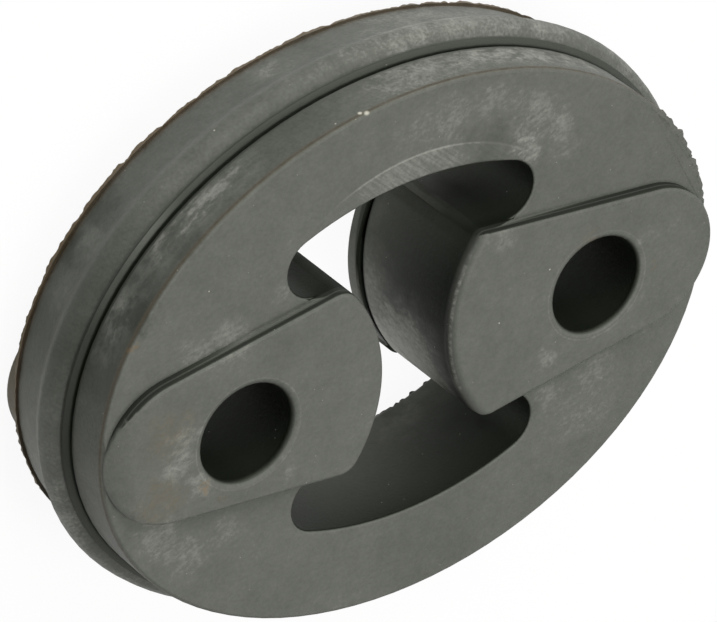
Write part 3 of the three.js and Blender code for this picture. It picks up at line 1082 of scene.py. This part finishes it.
@dataclass(frozen=True)
class Tear:
    """One pass of roughening, with lengths in mm.

    It has the size of its ups and downs, their whole range, and the part of it that lies inside the
    surface.
    """

    grain: float
    depth: float
    middle: float = 0.5


@dataclass
class Moulding:
    """The one rubber moulding: ring, lugs, pads, bead and flash. All its sizes are in mm."""

    oval: Oval = field(default_factory=Oval)
    merge_distance: float = 0.001
    # The fin of flash at the rear edge, and how far outside the oval its torn edge starts
    rear_cuts: int = 8
    rear_tears: tuple[Tear, ...] = (Tear(1.7, 0.4), Tear(0.5, 0.28))
    fin_start: float = 0.4
    # The torn flash at the front face's right end: how far down it reaches, and from which angle
    # to which, in degrees, with the angle over which it fades
    lip_cuts: int = 6
    lip_tears: tuple[Tear, ...] = (Tear(1.0, 1.1, 0.32),)
    lip_depth: float = 0.6
    lip_start: float = 2.0
    lip_end: float = 37.0
    lip_fade: float = 4.0
    # The ragged rear edge of the lower cavity: how far it reaches along X and along Y
    cavity_cuts: int = 5
    cavity_tears: tuple[Tear, ...] = (Tear(0.7, 1.1, 0.4),)
    cavity_reach: float = 13.0
    cavity_arc: Zone = Zone(-21.0, -14.0)
    # The right nose's wall, and the seam and the tab in it
    nose_across: Zone = Zone(2.0, 8.0)
    nose_reach: float = 10.6
    nose_wall: Zone = Zone(0.2, 14.0)
    seam_depth: float = 0.3
    tab: Zone = Zone(-10.0, -9.3)
    tab_height: float = 0.25

    def take_shape(self, node: bpy.types.Object) -> bpy.types.Object:
        """Copies the CAD solid and joins its loose triangles into clean faces.

        Args:
            node: The CAD node's object.

        Returns:
            The copy, as an object of its own.
        """
        mesh = node.data.copy()
        mesh.materials.clear()
        moulding = bpy.data.objects.new("rubber_moulding", mesh)
        bpy.context.scene.collection.objects.link(moulding)
        with editing(moulding):
            bpy.ops.mesh.select_all(action="SELECT")
            bpy.ops.mesh.remove_doubles(threshold=self.merge_distance * MM)
            bpy.ops.mesh.dissolve_limited(angle_limit=radians(0.3))
        return moulding

    def roughen(
        self, moulding: bpy.types.Object, weight: Callable[[Vector], float], tears: tuple[Tear, ...]
    ) -> None:
        """Pushes some points of the moulding in and out, as torn flash is.

        Args:
            moulding: The piece.
            weight: Takes a point in mm and says how strongly it is moved, from 0 to 1.
            tears: The passes, in order.
        """
        name = "torn_points"
        group = moulding.vertex_groups.new(name=name)
        for vertex in moulding.data.vertices:
            share = weight(vertex.co / MM)
            if share > 0:
                group.add([vertex.index], share, "REPLACE")
        for tear in tears:
            clouds = bpy.data.textures.new(name, "CLOUDS")
            clouds.noise_scale = tear.grain * MM
            clouds.noise_depth = 2
            push = moulding.modifiers.new(name, "DISPLACE")
            push.texture = clouds
            push.texture_coords = "LOCAL"
            push.vertex_group = name
            push.strength = tear.depth * MM
            push.mid_level = tear.middle
            bpy.ops.object.modifier_apply(modifier=push.name)
        moulding.vertex_groups.remove(moulding.vertex_groups[name])

    def tear_rear_flash(self, moulding: bpy.types.Object) -> None:
        """Makes the thin fin of flash at the rear edge ragged.

        Args:
            moulding: The piece.
        """

        def on_edge(point: Vector) -> bool:
            level = REAR_FACE - NEAR < point.z < FLASH_TOP + NEAR
            return level and self.oval.offset(point) > self.fin_start

        with editing(moulding):
            select_edges(
                moulding, lambda a, b: on_edge(a) and on_edge(b) and abs(a.z - b.z) < NEAR / 10
            )
            bpy.ops.mesh.subdivide(number_cuts=self.rear_cuts)
        self.roughen(moulding, on_edge, self.rear_tears)

    def tear_front_flash(self, moulding: bpy.types.Object) -> None:
        """Pulls ragged flash out of the front face's edge, at its right end.

        Args:
            moulding: The piece.
        """
        low = FRONT_FACE - self.lip_depth

        def in_reach(point: Vector) -> bool:
            return self.lip_start - 1 < self.oval.angle(point) < self.lip_end + 1

        def on_lip(point: Vector) -> bool:
            high_enough = low - NEAR < point.z < FRONT_FACE + NEAR
            return high_enough and self.oval.offset(point) > -0.6 and in_reach(point)

        with editing(moulding):
            select_faces(
                moulding,
                lambda middle, normal: abs(normal.z) < 0.2
                and middle.z > 9
                and self.oval.offset(middle) > -0.3
                and in_reach(middle),
            )
            bpy.ops.mesh.bisect(plane_co=(0, 0, low * MM), plane_no=(0, 0, 1))
            select_edges(
                moulding, lambda a, b: on_lip(a) and on_lip(b) and abs(a.z - b.z) < NEAR / 10
            )
            bpy.ops.mesh.subdivide(number_cuts=self.lip_cuts)

        def weight(point: Vector) -> float:
            if not on_lip(point) or point.z < low + NEAR:
                return 0.0
            angle = self.oval.angle(point)
            inside = min(angle - self.lip_start, self.lip_end - angle)
            return max(min(inside / self.lip_fade, 1.0), 0.0)

        self.roughen(moulding, weight, self.lip_tears)

    def tear_cavity_edge(self, moulding: bpy.types.Object) -> None:
        """Makes the rear edge of the lower cavity ragged.

        Args:
            moulding: The piece.
        """

        def on_edge(point: Vector) -> bool:
            in_arc = self.cavity_arc.low < point.y < self.cavity_arc.high
            in_reach = abs(point.x) < self.cavity_reach and self.oval.offset(point) < -4
            return in_arc and in_reach and abs(point.z - REAR_FACE) < NEAR

        with editing(moulding):
            select_edges(moulding, lambda a, b: on_edge(a) and on_edge(b))
            bpy.ops.mesh.subdivide(number_cuts=self.cavity_cuts)
        self.roughen(moulding, on_edge, self.cavity_tears)

    def cut_nose_seam(self, moulding: bpy.types.Object) -> None:
        """Cuts the open seam into the right nose, where the mould's halves met on a slant.

        A tab of rubber is left standing at the seam's lower end.

        Args:
            moulding: The piece.
        """

        def on_nose(middle: Vector, normal: Vector) -> bool:
            on_wall = self.nose_wall.low < middle.z < self.nose_wall.high and abs(normal.z) < 0.3
            in_front = self.nose_across.low < middle.x < self.nose_across.high
            return on_wall and in_front and abs(middle.y) < self.nose_reach and normal.x < -0.05

        def seam_place(middle: Vector) -> float:
            return middle.z + SEAM_SLOPE * middle.y - SEAM_HEIGHT

        slant = Vector((0, SEAM_SLOPE, 1)).normalized()
        with editing(moulding):
            for level in (SEAM_HEIGHT, SEAM_HEIGHT + SEAM_WIDTH):
                select_faces(moulding, on_nose)
                bpy.ops.mesh.bisect(plane_co=(0, 0, level * MM), plane_no=slant)
            for side in (self.tab.low, self.tab.high):
                select_faces(moulding, lambda a, n: on_nose(a, n) and seam_place(a) < 0)
                bpy.ops.mesh.bisect(plane_co=(0, side * MM, 0), plane_no=(0, 1, 0))
            select_faces(moulding, lambda a, n: on_nose(a, n) and 0 < seam_place(a) < SEAM_WIDTH)
            bpy.ops.mesh.extrude_region_shrink_fatten(
                TRANSFORM_OT_shrink_fatten={"value": -self.seam_depth * MM}
            )
            select_faces(
                moulding,
                lambda a, n: on_nose(a, n)
                and seam_place(a) < 0
                and self.tab.low < a.y < self.tab.high,
            )
            bpy.ops.mesh.extrude_region_shrink_fatten(
                TRANSFORM_OT_shrink_fatten={"value": self.tab_height * MM}
            )

    def build(self, node: bpy.types.Object) -> bpy.types.Object:
        """Builds the whole moulding.

        Args:
            node: The CAD node's object.

        Returns:
            The finished piece.
        """
        moulding = self.take_shape(node)
        self.tear_rear_flash(moulding)
        self.tear_front_flash(moulding)
        self.tear_cavity_edge(moulding)
        self.cut_nose_seam(moulding)
        bpy.ops.object.shade_smooth_by_angle(angle=radians(50))
        moulding.modifiers.new("even_shading", "WEIGHTED_NORMAL").keep_sharp = True
        bpy.ops.object.modifier_apply(modifier="even_shading")
        moulding.data.materials.append(MouldedRubber().build())
        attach(moulding, BODY)
        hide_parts(NODE)
        return moulding


def main() -> None:
    """Builds the scene: camera, studio and moulding, in that order."""
    logging.basicConfig(level=logging.INFO, format="%(message)s")
    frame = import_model()
    bpy.context.scene.view_settings.view_transform = "Standard"
    Viewpoint().build()
    log.info("camera placed")
    Studio().build()
    log.info("studio lit")
    moulding = Moulding().build(frame["nodes"][NODE])
    log.info("%s: %d faces", moulding.name, len(moulding.data.polygons))


if __name__ == "__main__":
    main()
